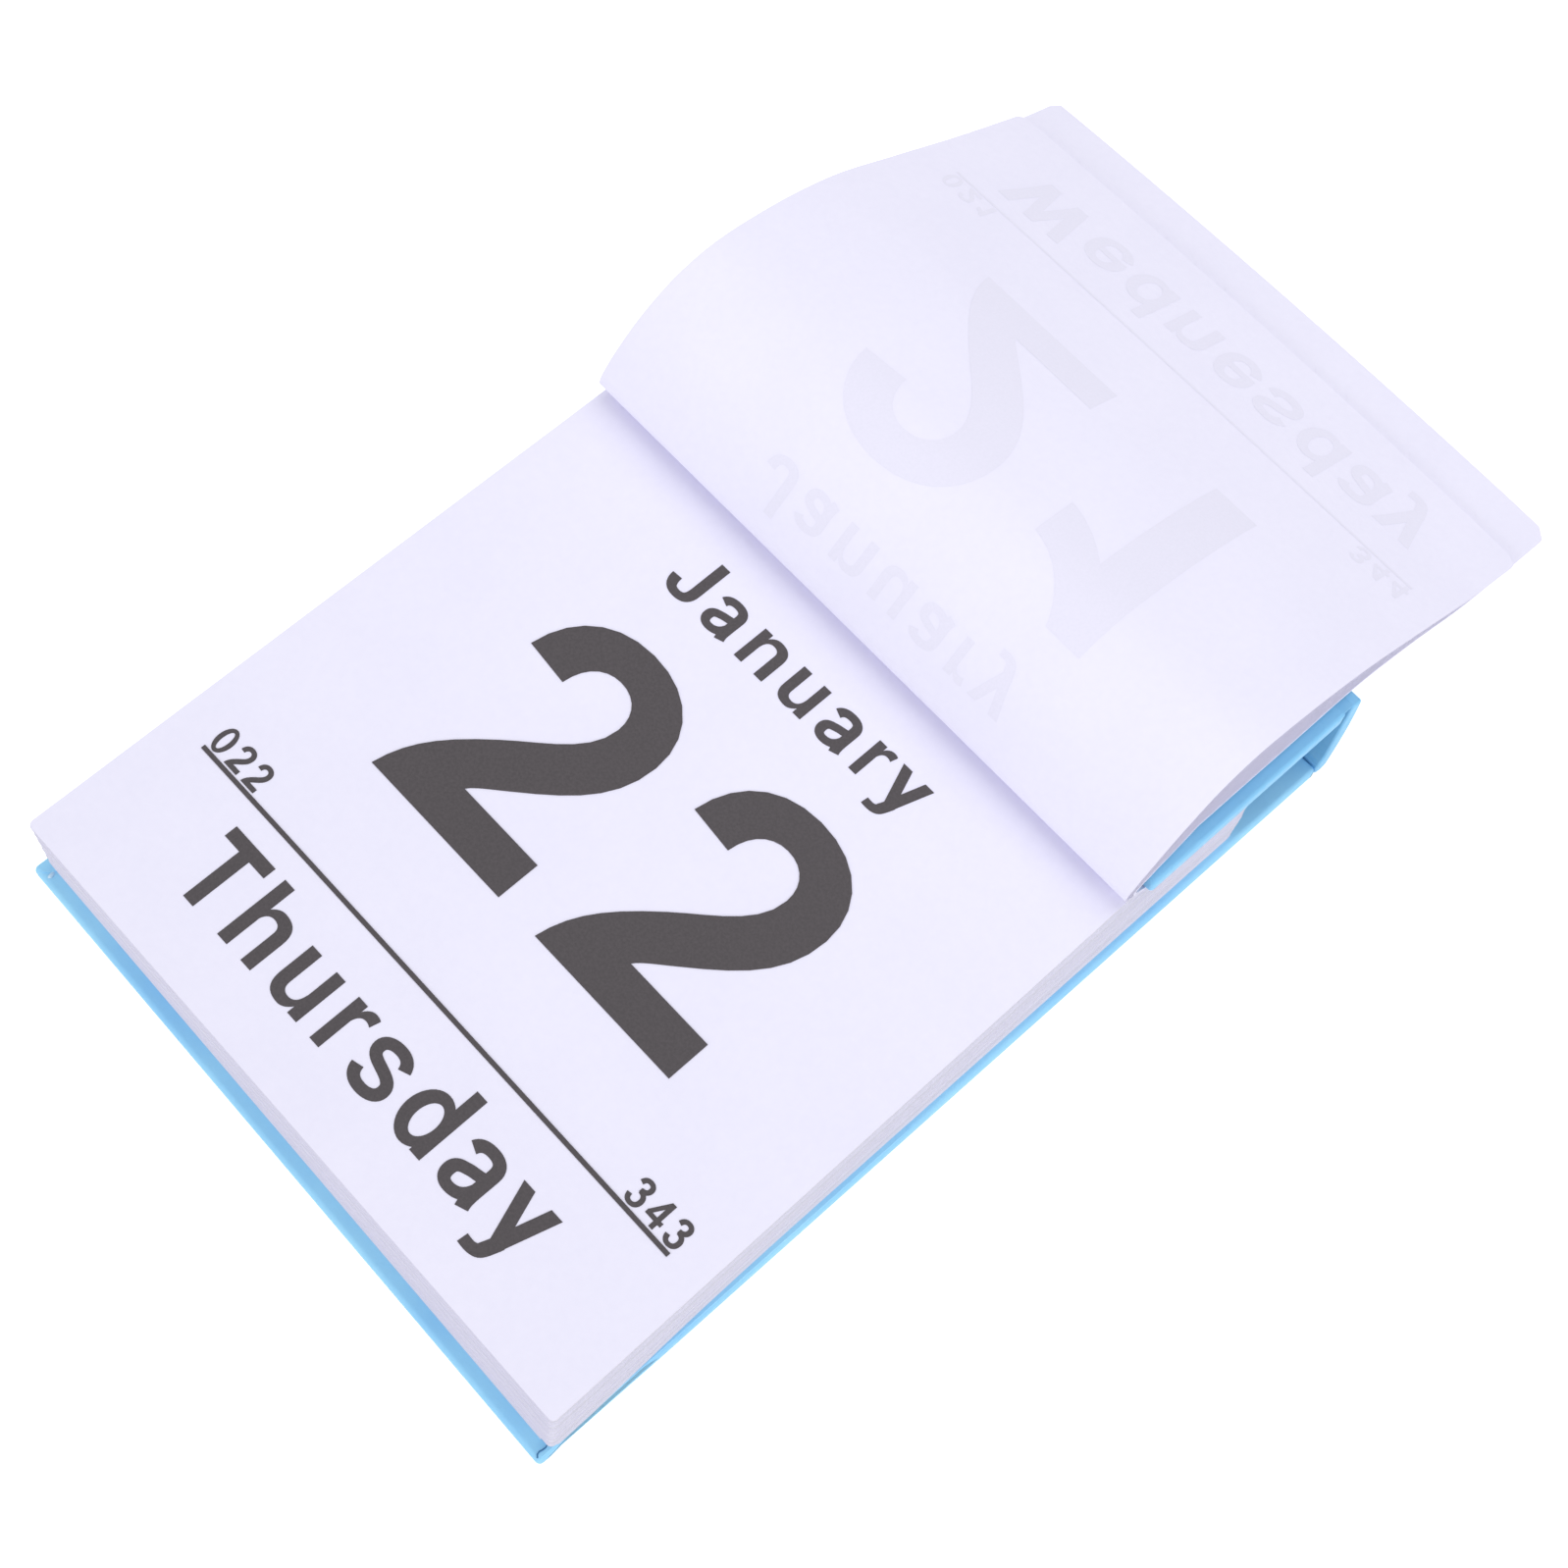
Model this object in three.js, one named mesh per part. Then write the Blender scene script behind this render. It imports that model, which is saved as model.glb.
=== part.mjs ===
// Tear-off day calendar lying on its back, some of its sheets turned over the flap.
// Millimetres. +X is the reading direction, +Y runs toward the spine, +Z is up.
// Lengths along Y are first counted from the front edge of the page on show.
import * as THREE from "three";
import { mergeVertices } from "three/addons/utils/BufferGeometryUtils.js";

// Pages
const pageWidth = 103;
const pageLength = 121.2;
const pageCornerRadius = 0.8;
const blockThickness = 14.8;
const blockLean = 0.7;
const pageSkew = THREE.MathUtils.degToRad(0.64);
const skewPivotY = 70;

// Case: back cover, spine and short front flap
const boardThickness = 2.5;
const flapThickness = 3;
const spineThickness = 2.3;
const coverMarginSide = 1;
const coverMarginFront = 2.8;
const endGap = 16.7;
const hingeGroove = 0.5;
const wrapThickness = 0.4;
const edgeRound = 0.8;
const boardEndRound = 0.6;
const flapOverPages = 20.2;

// Turned sheets: a bound root and four leaves that fan out over the flap
const leaves = [
  { lift: 0.03, thickness: 0.5 },
  { lift: 0.42, thickness: 0.14 },
  { lift: 0.72, thickness: 0.12 },
  { lift: 1, thickness: 0.14 },
];
const restGap = 0.3;
const foldReach = 4;
const archHeight = 12.3;
const archTwist = 0.7;
const tailBeyondSpine = 39.6;
const tailStagger = 8;
const tailSlant = 2.5;
const tipHeight = 5.2;
const tipTwist = 2.4;
const lowLeafShift = 0.8;
const topLeafShift = 0.3;

// Print
const inkThickness = 0.1;
const digitWidth = 25.5;
const digitHeight = 37.85;
const digitGap = 7.1;
const digitFootY = 38.2;
const ruleLength = 91;
const ruleWidth = 0.65;
const ruleY = 23.35;
const printShift = 0.3;

// Levels and stations that follow from the sizes above
const pageTop = boardThickness + blockThickness;
const turnedThickness = leaves.reduce((sum, leaf) => sum + leaf.thickness, 0);
const flapBottom = pageTop + turnedThickness;
const flapTop = flapBottom + flapThickness;
const flapEdgeY = pageLength - flapOverPages;
const hingeY = pageLength + endGap;
const spineOuterY = hingeY + hingeGroove + spineThickness;
const caseWidth = pageWidth + 2 * coverMarginSide;

const paper = new THREE.MeshStandardMaterial({ name: "paper", color: 0xeeedfb, roughness: 0.85 });
const turned = new THREE.MeshStandardMaterial({ name: "turned_paper", color: 0xf0effc, roughness: 0.85 });
const blueBack = new THREE.MeshStandardMaterial({ name: "back_paper", color: 0x84c3ec, roughness: 0.6 });
const blueSpine = new THREE.MeshStandardMaterial({ name: "spine_paper", color: 0x7ab8e0, roughness: 0.6 });
const blueFlap = new THREE.MeshStandardMaterial({ name: "flap_paper", color: 0x80c1ec, roughness: 0.6 });
const makeInk = (name) => new THREE.MeshStandardMaterial({ name, color: 0x5a5458, roughness: 0.7 });

// A closed tube of equal outlines, capped at both ends, the outlines taken anticlockwise
function loft(rows, capShape) {
  const clockwise = THREE.ShapeUtils.area(rows[0].map(capShape)) < 0;
  const outlines = rows.map((row) => (clockwise ? [...row].reverse() : row));
  const count = outlines[0].length;
  const points = outlines.flat();
  const faces = [];
  for (let row = 0; row < outlines.length - 1; row++) {
    for (let i = 0; i < count; i++) {
      const a = row * count + i;
      const b = row * count + ((i + 1) % count);
      faces.push(a, b, b + count, a, b + count, a + count);
    }
  }
  const lastRow = (outlines.length - 1) * count;
  const capFirst = THREE.ShapeUtils.triangulateShape(outlines[0].map(capShape), []);
  for (const [a, b, c] of capFirst) {
    faces.push(c, b, a);
  }
  const capLast = THREE.ShapeUtils.triangulateShape(outlines.at(-1).map(capShape), []);
  for (const [a, b, c] of capLast) {
    faces.push(lastRow + a, lastRow + b, lastRow + c);
  }
  const geometry = new THREE.BufferGeometry().setFromPoints(points);
  geometry.setIndex(faces);
  return geometry;
}

function node(name, geometry, material) {
  const clean = mergeVertices(geometry, 1e-5);
  const flat = clean.toNonIndexed();
  flat.computeVertexNormals();
  const mesh = new THREE.Mesh(flat, material);
  mesh.name = name;
  return mesh;
}

function quarter(y, z, radius, from) {
  const steps = 4;
  const arc = [];
  for (let i = 0; i <= steps; i++) {
    const angle = from + (i / steps) * (Math.PI / 2);
    arc.push(new THREE.Vector2(y + radius * Math.cos(angle), z + radius * Math.sin(angle)));
  }
  return arc;
}

// Extrudes a section drawn in (y, z) along X, its ends rounded over
function alongX(section, width, endRound) {
  const geometry = new THREE.ExtrudeGeometry(new THREE.Shape(section), {
    depth: width - 2 * endRound,
    bevelEnabled: endRound > 0,
    bevelThickness: endRound,
    bevelSize: endRound,
    bevelOffset: -endRound,
    bevelSegments: 3,
    steps: 1,
  });
  const yzToXyz = new THREE.Matrix4().makeBasis(
    new THREE.Vector3(0, 1, 0), new THREE.Vector3(0, 0, 1), new THREE.Vector3(1, 0, 0));
  geometry.deleteAttribute("normal");
  geometry.deleteAttribute("uv");
  return geometry.applyMatrix4(yzToXyz).translate(-width / 2 + endRound, 0, 0);
}

// A covered board: rounded free edge in front, square end at the hinge
function board(frontY, endY, bottom, top) {
  return [
    ...quarter(frontY + edgeRound, top - edgeRound, edgeRound, Math.PI / 2),
    ...quarter(frontY + edgeRound, bottom + edgeRound, edgeRound, Math.PI),
    new THREE.Vector2(endY, bottom),
    new THREE.Vector2(endY, top),
  ];
}

const backSection = board(-coverMarginFront, hingeY, 0, boardThickness);
const backCover = alongX(backSection, caseWidth, boardEndRound);

const flapSection = board(flapEdgeY, hingeY, flapBottom, flapTop);
const frontFlap = alongX(flapSection, caseWidth, boardEndRound);

// The spine board with the two strips of wrap that reach the other boards
const spineInnerY = hingeY + hingeGroove;
const spineSection = [
  new THREE.Vector2(hingeY, 0),
  ...quarter(spineOuterY - edgeRound, edgeRound, edgeRound, -Math.PI / 2),
  ...quarter(spineOuterY - edgeRound, flapTop - edgeRound, edgeRound, 0),
  new THREE.Vector2(hingeY, flapTop),
  new THREE.Vector2(hingeY, flapTop - wrapThickness),
  new THREE.Vector2(spineInnerY, flapTop - wrapThickness),
  new THREE.Vector2(spineInnerY, wrapThickness),
  new THREE.Vector2(hingeY, wrapThickness),
];
const spine = alongX(spineSection, caseWidth, 0);

const skewed = (x, y, share) =>
  new THREE.Vector2(x, y - skewPivotY)
    .rotateAround(new THREE.Vector2(0, 0), pageSkew * share)
    .add(new THREE.Vector2(0, skewPivotY));

// The page block: each layer lies a little more askew than the one below it
function pageOutline(share) {
  const left = -pageWidth / 2 + pageCornerRadius;
  const right = pageWidth / 2 - pageCornerRadius;
  const front = -blockLean * (1 - share) + pageCornerRadius;
  const back = pageLength - pageCornerRadius;
  const flatOutline = [
    ...quarter(right, front, pageCornerRadius, -Math.PI / 2),
    ...quarter(right, back, pageCornerRadius, 0),
    ...quarter(left, back, pageCornerRadius, Math.PI / 2),
    ...quarter(left, front, pageCornerRadius, Math.PI),
  ];
  return flatOutline.map((p) => {
    const q = skewed(p.x, p.y, share);
    return new THREE.Vector3(q.x, q.y, boardThickness + share * blockThickness);
  });
}
const blockLayers = 8;
const blockRows = Array.from({ length: blockLayers + 1 }, (_, i) => pageOutline(i / blockLayers));
const pageBlock = loft(blockRows, (p) => new THREE.Vector2(p.x, p.y));

// Course of one leaf from the bound root, round the fold and down past the spine
function leafCourse(leaf, rootZ, side) {
  const { lift } = leaf;
  const low = flapTop + restGap + leaves[0].thickness / 2;
  const arch = archHeight * lift;
  const twist = archTwist * lift * side;
  const foldY = flapEdgeY - 2.2 - (foldReach - 2.2) * lift;
  const tipY = spineOuterY + tailBeyondSpine + tailStagger * (1 - lift) - (tailSlant - 0.8 * lift) * side;
  const tipZ = tipHeight * (1 + lift) + (tipTwist - lift) * side;
  const through = [
    [flapEdgeY, rootZ],
    [foldY, (flapBottom + low) / 2 + 0.5 * lift],
    [flapEdgeY - 0.4 - 1.7 * lift, low + 2.3 * lift],
    [flapEdgeY + 6 - 1.4 * lift, low + 0.67 * arch + 0.5 * twist],
    [flapEdgeY + 15, low + arch + twist],
    [flapEdgeY + 27, low + 0.91 * arch + 0.5 * twist],
    [spineOuterY, low + 0.6 * arch],
    [spineOuterY + 12.5, low - 3.3 + 4.6 * lift],
    [spineOuterY + 26.5, low - 8.9 + 3.1 * lift],
    [tipY, tipZ],
  ];
  const curve = new THREE.CatmullRomCurve3(through.map(([y, z]) => new THREE.Vector3(0, y, z)));
  return curve.getPoints(44);
}

// Both faces of a leaf, half its thickness to either side of its course
function leafFaces(leaf, rootZ, side) {
  const course = leafCourse(leaf, rootZ, side);
  const outer = [];
  const inner = [];
  course.forEach((p, i) => {
    const before = course[Math.max(i - 1, 0)];
    const after = course[Math.min(i + 1, course.length - 1)];
    const along = after.clone().sub(before).normalize();
    const across = i === 0 ? new THREE.Vector3(0, 0, -1) : new THREE.Vector3(0, -along.z, along.y);
    outer.push(p.clone().addScaledVector(across, leaf.thickness / 2));
    inner.push(p.clone().addScaledVector(across, -leaf.thickness / 2));
  });
  return { outer, inner };
}

// The comb outline of the turned sheets at one side edge
function turnedOutline(side) {
  const outline = [new THREE.Vector3(0, pageLength, pageTop)];
  const reach = (point, lift) => {
    const past = THREE.MathUtils.clamp((point.y - flapEdgeY) / 10, 0, 1);
    const shift = THREE.MathUtils.lerp(lowLeafShift, topLeafShift, lift);
    point.x = (side * pageWidth) / 2 - shift * past;
    return point;
  };
  let rootZ = pageTop;
  for (const leaf of [...leaves].reverse()) {
    const { outer, inner } = leafFaces(leaf, rootZ + leaf.thickness / 2, side);
    outer.forEach((p) => outline.push(reach(p, leaf.lift)));
    inner.reverse().forEach((p) => outline.push(reach(p, leaf.lift)));
    rootZ += leaf.thickness;
  }
  outline.push(new THREE.Vector3(0, pageLength, flapBottom));
  outline[0].x = (side * pageWidth) / 2;
  outline.at(-1).x = (side * pageWidth) / 2;
  return outline.filter((p, i) => i === 0 || p.distanceTo(outline[i - 1]) > 1e-4);
}
const leftEdge = turnedOutline(-1);
const rightEdge = turnedOutline(1);
const turnedColumns = 6;
const turnedRows = Array.from({ length: turnedColumns + 1 }, (_, i) =>
  leftEdge.map((p, k) => p.clone().lerp(rightEdge[k], i / turnedColumns)));
const turnedSheets = loft(turnedRows, (p) => new THREE.Vector2(p.y, p.z));

// A bold figure two inside a box of the given size
function digitTwo(x, y, width, height) {
  const shape = new THREE.Shape();
  const at = (u, v) => [x + u * width, y + v * height];
  const curve = (...uv) => shape.bezierCurveTo(...at(uv[0], uv[1]), ...at(uv[2], uv[3]), ...at(uv[4], uv[5]));
  shape.moveTo(...at(0, 0));
  shape.lineTo(...at(1, 0));
  shape.lineTo(...at(1, 0.173));
  shape.lineTo(...at(0.43, 0.173));
  curve(0.46, 0.205, 0.52, 0.235, 0.604, 0.286);
  curve(0.83, 0.42, 1, 0.53, 1, 0.714);
  curve(1, 0.885, 0.8, 1, 0.514, 1);
  curve(0.22, 1, 0.05, 0.88, 0.024, 0.709);
  shape.lineTo(...at(0.306, 0.691));
  curve(0.318, 0.79, 0.4, 0.843, 0.514, 0.843);
  curve(0.63, 0.843, 0.708, 0.79, 0.708, 0.714);
  curve(0.708, 0.58, 0.5, 0.49, 0.346, 0.385);
  curve(0.13, 0.24, 0.03, 0.14, 0, 0);
  return shape;
}

// Ink lies on the page on show and turns with it
function print(shape) {
  const geometry = new THREE.ExtrudeGeometry(shape, {
    depth: inkThickness, bevelEnabled: false, steps: 1, curveSegments: 7,
  });
  geometry.deleteAttribute("normal");
  geometry.deleteAttribute("uv");
  return geometry
    .translate(0, -skewPivotY, 0)
    .rotateZ(pageSkew)
    .translate(0, skewPivotY, pageTop);
}
const digitLeft = print(digitTwo(printShift - digitGap / 2 - digitWidth, digitFootY, digitWidth, digitHeight));
const digitRight = print(digitTwo(printShift + digitGap / 2, digitFootY, digitWidth, digitHeight));
const ruleShape = new THREE.Shape([
  new THREE.Vector2(printShift - ruleLength / 2, ruleY - ruleWidth / 2),
  new THREE.Vector2(printShift + ruleLength / 2, ruleY - ruleWidth / 2),
  new THREE.Vector2(printShift + ruleLength / 2, ruleY + ruleWidth / 2),
  new THREE.Vector2(printShift - ruleLength / 2, ruleY + ruleWidth / 2),
]);

const calendar = new THREE.Group();
calendar.name = "tear_off_calendar";
calendar.add(
  node("back_cover", backCover, blueBack),
  node("spine", spine, blueSpine),
  node("front_flap", frontFlap, blueFlap),
  node("page_block", pageBlock, paper),
  node("turned_sheets", turnedSheets, turned),
  node("date_digit_left", digitLeft, makeInk("ink_left")),
  node("date_digit_right", digitRight, makeInk("ink_right")),
  node("rule_line", print(ruleShape), makeInk("ink_rule")),
);

// Put the middle of the footprint at the origin
const box = new THREE.Box3().setFromObject(calendar);
const middle = box.getCenter(new THREE.Vector3());
for (const part of calendar.children) {
  part.geometry.translate(-middle.x, -middle.y, -box.min.z);
}

export default calendar;
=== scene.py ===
# Tear-off day calendar lying on its back, used sheets turned over the flap.
# Metres, in the part's row frame. Lengths along the page are written in millimetres
# from the free edge of the page on show, and become row coordinates in at().
import bpy
import math
import random
from mathutils import Matrix, Vector
from mathutils.geometry import delaunay_2d_cdt


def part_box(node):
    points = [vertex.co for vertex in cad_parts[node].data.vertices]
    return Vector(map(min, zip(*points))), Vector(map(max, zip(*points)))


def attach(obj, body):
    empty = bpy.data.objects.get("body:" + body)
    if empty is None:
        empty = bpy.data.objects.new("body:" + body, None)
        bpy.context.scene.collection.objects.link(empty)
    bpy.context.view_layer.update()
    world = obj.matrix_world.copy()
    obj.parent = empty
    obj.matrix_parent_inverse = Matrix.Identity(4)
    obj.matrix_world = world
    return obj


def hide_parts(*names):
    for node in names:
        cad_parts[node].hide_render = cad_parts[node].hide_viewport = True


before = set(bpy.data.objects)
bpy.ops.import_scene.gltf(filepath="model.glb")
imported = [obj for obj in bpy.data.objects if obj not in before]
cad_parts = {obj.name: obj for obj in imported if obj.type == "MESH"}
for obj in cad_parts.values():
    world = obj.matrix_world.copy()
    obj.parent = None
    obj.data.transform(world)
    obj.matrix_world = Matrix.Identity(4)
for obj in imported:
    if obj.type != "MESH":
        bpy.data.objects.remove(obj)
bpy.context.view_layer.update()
MM = 0.001
random.seed(7)

# Sizes repeated from the part's source, in millimetres
PAGE_WIDTH = 103
PAGE_LENGTH = 121.2
UNDER_FLAP = 20.2
BLOCK_THICKNESS = 14.8
TURNED = 0.9
CASE_WIDTH = 105
BOARD = 2.5
FLAP_THICKNESS = 3
SPINE_THICKNESS = 2.3
SPINE_GAP = 16.7
HINGE_SLIT = 0.5
COVER_FRONT = -2.8
PAGE_SKEW = math.radians(0.64)
SKEW_PIVOT = 70
PRINT_SHIFT = 0.3

# Heights and places along the page that follow from them
PAGE_TOP = BOARD + BLOCK_THICKNESS
FLAP_BOTTOM = PAGE_TOP + TURNED
FLAP_TOP = FLAP_BOTTOM + FLAP_THICKNESS
FLAP_EDGE = PAGE_LENGTH - UNDER_FLAP
HINGE = PAGE_LENGTH + SPINE_GAP
SPINE_INNER = HINGE + HINGE_SLIT
SPINE_OUTER = SPINE_INNER + SPINE_THICKNESS
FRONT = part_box("back_cover")[0][1] - COVER_FRONT * MM


def at(x, y, z):
    """A point in the row frame, from millimetres counted on the page."""
    return Vector((x * MM, FRONT + y * MM, z * MM))


def on_page(x, y, z=PAGE_TOP):
    """A point of the page on show, which lies slightly askew on the case."""
    dy = y - SKEW_PIVOT
    return at(x * math.cos(PAGE_SKEW) - dy * math.sin(PAGE_SKEW),
              SKEW_PIVOT + x * math.sin(PAGE_SKEW) + dy * math.cos(PAGE_SKEW), z)


# Camera, as fitted to the straight edges in the photograph
AZIMUTH = math.radians(42.738)
ELEVATION = math.radians(66.147)
ROLL = math.radians(5.387)
TARGET = at(4.364, 81.897, 0)
DISTANCE = 0.34675
FOCAL_PIXELS = 2547.2
PICTURE_PIXELS = 1598
SENSOR_WIDTH = 36


def set_camera():
    """The camera looks at TARGET, turned by ROLL about its own line of sight."""
    back = Vector((math.sin(AZIMUTH) * math.cos(ELEVATION),
                   -math.cos(AZIMUTH) * math.cos(ELEVATION), math.sin(ELEVATION)))
    right = (-back).cross(Vector((0, 0, 1))).normalized()
    up = right.cross(-back)
    side = right * math.cos(ROLL) + up * math.sin(ROLL)
    top = up * math.cos(ROLL) - right * math.sin(ROLL)
    lens = bpy.data.cameras.new("camera")
    lens.sensor_width = SENSOR_WIDTH
    lens.lens = FOCAL_PIXELS / PICTURE_PIXELS * SENSOR_WIDTH
    lens.clip_start = 0.01
    camera = bpy.data.objects.new("camera", lens)
    bpy.context.scene.collection.objects.link(camera)
    camera.matrix_world = Matrix.Translation(TARGET + back * DISTANCE) @ Matrix(
        (side, top, back)).transposed().to_4x4()
    bpy.context.scene.camera = camera


set_camera()
bpy.context.scene.view_settings.view_transform = "Standard"


# Materials
class Nodes:
    """Short calls for the nodes of one material."""

    def __init__(self, name):
        self.material = bpy.data.materials.new(name)
        self.material.use_nodes = True
        self.tree = self.material.node_tree
        self.shader = self.tree.nodes["Principled BSDF"]
        self.position = self.tree.nodes.new("ShaderNodeTexCoord").outputs["Object"]

    def add(self, kind, **inputs):
        node = self.tree.nodes.new(kind)
        for name, value in inputs.items():
            self.put(node.inputs[name.replace("_", " ")], value)
        return node

    def put(self, socket, value):
        if isinstance(value, bpy.types.NodeSocket):
            self.tree.links.new(value, socket)
        else:
            socket.default_value = value

    def noise(self, scale, detail, stretch=(1, 1, 1), roughness=0.55):
        moved = self.add("ShaderNodeMapping", Vector=self.position)
        moved.inputs["Scale"].default_value = stretch
        node = self.add("ShaderNodeTexNoise", Vector=moved.outputs[0], Scale=scale)
        node.inputs["Detail"].default_value = detail
        node.inputs["Roughness"].default_value = roughness
        return node.outputs["Fac"]

    def spread(self, value, low, high, out_low=0.0, out_high=1.0):
        node = self.tree.nodes.new("ShaderNodeMapRange")
        for i, number in enumerate((value, low, high, out_low, out_high)):
            self.put(node.inputs[i], number)
        return node.outputs[0]

    def math(self, operation, a, b=0.0):
        node = self.tree.nodes.new("ShaderNodeMath")
        node.operation = operation
        self.put(node.inputs[0], a)
        self.put(node.inputs[1], b)
        return node.outputs[0]

    def mix(self, factor, a, b):
        """Mixes two colours, whose sockets are the Mix node's inputs 6 and 7."""
        node = self.tree.nodes.new("ShaderNodeMix")
        node.data_type = "RGBA"
        self.put(node.inputs[0], factor)
        self.put(node.inputs[6], a)
        self.put(node.inputs[7], b)
        return node.outputs[2]

    def bump(self, height, strength, distance):
        node = self.add("ShaderNodeBump", Height=height)
        node.inputs["Strength"].default_value = strength
        node.inputs["Distance"].default_value = distance
        self.put(self.shader.inputs["Normal"], node.outputs[0])

    def facing_up(self):
        """1 on a level face, 0 on an upright one."""
        geometry = self.tree.nodes.new("ShaderNodeNewGeometry")
        split = self.tree.nodes.new("ShaderNodeSeparateXYZ")
        self.put(split.inputs[0], geometry.outputs["Normal"])
        return self.math("ABSOLUTE", split.outputs["Z"])


# Colours of the paper's faces and cut edges, the covering paper, a lighter copy of it as painted
# light, a painted seam shadow and the print
PAPER_LIGHT = (0.850, 0.836, 0.985, 1)
PAPER_DARK = (0.826, 0.813, 0.967, 1)
EDGE_LIGHT = (0.755, 0.745, 0.840, 1)
EDGE_DARK = (0.560, 0.552, 0.650, 1)
BLUE = (0.245, 0.595, 0.905, 1)
BLUE_LIGHT = (0.335, 0.685, 0.950, 1)
BLUE_PAINTED_LIGHT_DARK = (0.260, 0.605, 0.950, 1)
BLUE_PAINTED_LIGHT_PALE = (0.342, 0.715, 0.980, 1)
BLUE_DARK = (0.212, 0.552, 0.872, 1)
BLUE_WORN = (0.640, 0.800, 0.930, 1)
INK = (0.075, 0.067, 0.073, 1)
INK_LIGHT = (0.095, 0.085, 0.092, 1)
SEAM_SHADOW_DARK = (0.060, 0.190, 0.370, 1)
SEAM_SHADOW_LIGHT = (0.085, 0.240, 0.440, 1)
GHOST_DARK = (0.782, 0.770, 0.912, 1)
GHOST_LIGHT = (0.806, 0.792, 0.935, 1)

# Noise scales of the paper's fibres and clouds, its cut layers, the covering paper and the ink
FIBRE, PAPER_CLOUD = 900, 60
LAYER, LAYER_STRETCH = 420, (0.012, 0.012, 14)
BAND, BAND_STRETCH = 60, (0.05, 0.05, 22)
COVER_GRAIN, COVER_CLOUD, COVER_RUB = 1400, 45, 160
INK_GRAIN = 2600
PAPER_ROUGHNESS, PAPER_SPECULAR = 0.85, 0.25
COVER_SPECULAR = 0.45
INK_SPECULAR = 0.2
BUMP_DEPTH = 0.0002
INK_BUMP_DEPTH = 0.0001


def paper_material(name, light, dark, layered):
    """Thin uncoated paper; its cut sides show the layers of sheets."""
    n = Nodes(name)
    fibre = n.noise(FIBRE, 6)
    cloud = n.noise(PAPER_CLOUD, 3)
    face = n.mix(n.spread(n.math("ADD", fibre, cloud), 0.75, 1.3), dark, light)
    colour = face
    height = fibre
    if layered:
        layers = n.noise(LAYER, 3, LAYER_STRETCH, 0.7)
        bands = n.noise(BAND, 2, BAND_STRETCH)
        lines = n.spread(n.math("ADD", layers, n.math("MULTIPLY", bands, 0.6)), 0.55, 0.95)
        edge = n.mix(lines, EDGE_DARK, EDGE_LIGHT)
        flat = n.spread(n.facing_up(), 0.3, 0.7)
        colour = n.mix(flat, edge, face)
        height = n.math("ADD", n.math("MULTIPLY", fibre, 0.3), n.math("MULTIPLY", layers, 1.2))
    n.put(n.shader.inputs["Base Color"], colour)
    n.shader.inputs["Roughness"].default_value = PAPER_ROUGHNESS
    n.shader.inputs["Specular IOR Level"].default_value = PAPER_SPECULAR
    n.bump(height, 0.25, BUMP_DEPTH)
    return n.material


def cover_material(name, worn=False, painted_light=False):
    """Light blue covering paper over board, a little worn and rubbed; painted_light gives a lighter
    copy that paints light on shaded parts.
    """
    n = Nodes(name)
    grain = n.noise(COVER_GRAIN, 5)
    cloud = n.noise(COVER_CLOUD, 4)
    rubbed = n.spread(n.noise(COVER_RUB, 6, roughness=0.7), 0.58, 0.78)
    # The lighter pair of blues is painted light for the back board and its turned-in edges, which
    # lie in shade
    dark, light = (BLUE_PAINTED_LIGHT_DARK, BLUE_PAINTED_LIGHT_PALE) if painted_light else (BLUE_DARK, BLUE)
    colour = n.mix(n.spread(cloud, 0.3, 0.7), dark, light)
    colour = n.mix(n.math("MULTIPLY", rubbed, 0.35), colour, BLUE_LIGHT)
    if worn:
        colour = n.mix(n.spread(grain, 0.3, 0.6, 0.3, 0.9), colour, BLUE_WORN)
    n.put(n.shader.inputs["Base Color"], colour)
    n.put(n.shader.inputs["Roughness"], n.spread(grain, 0.3, 0.7, 0.45, 0.62))
    n.shader.inputs["Specular IOR Level"].default_value = COVER_SPECULAR
    n.bump(n.math("ADD", grain, n.math("MULTIPLY", cloud, 0.6)), 0.2, BUMP_DEPTH)
    return n.material


def ink_material(name, dark, light):
    """Printed ink, or a thin line of painted shadow, with a fine grain."""
    n = Nodes(name)
    grain = n.noise(INK_GRAIN, 4)
    n.put(n.shader.inputs["Base Color"], n.mix(n.spread(grain, 0.35, 0.7), dark, light))
    n.put(n.shader.inputs["Roughness"], n.spread(grain, 0.3, 0.7, 0.5, 0.7))
    n.shader.inputs["Specular IOR Level"].default_value = INK_SPECULAR
    n.bump(grain, 0.15, INK_BUMP_DEPTH)
    return n.material


page_paper = paper_material("page_paper", PAPER_LIGHT, PAPER_DARK, True)
turned_paper = paper_material("turned_paper_visual", PAPER_LIGHT, PAPER_DARK, False)
covering = cover_material("covering_paper")
# A lighter copy of the covering paper: painted light on the back board and its turned-in edges
covering_painted_light = cover_material("covering_paper_painted_light", painted_light=True)
worn = cover_material("worn_covering_paper", worn=True)
# The seam's dark line is painted shadow of the gap under the turned-in edge
shaded = ink_material("seam_shadow", SEAM_SHADOW_DARK, SEAM_SHADOW_LIGHT)
ink = ink_material("printed_ink", INK, INK_LIGHT)
ghost_ink = ink_material("print_through", GHOST_DARK, GHOST_LIGHT)

# The large figures and the rule keep their CAD shape and get the ink
for name in ("date_digit_left", "date_digit_right", "rule_line"):
    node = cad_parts[name]
    node.data.materials.clear()
    node.data.materials.append(ink)


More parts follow.
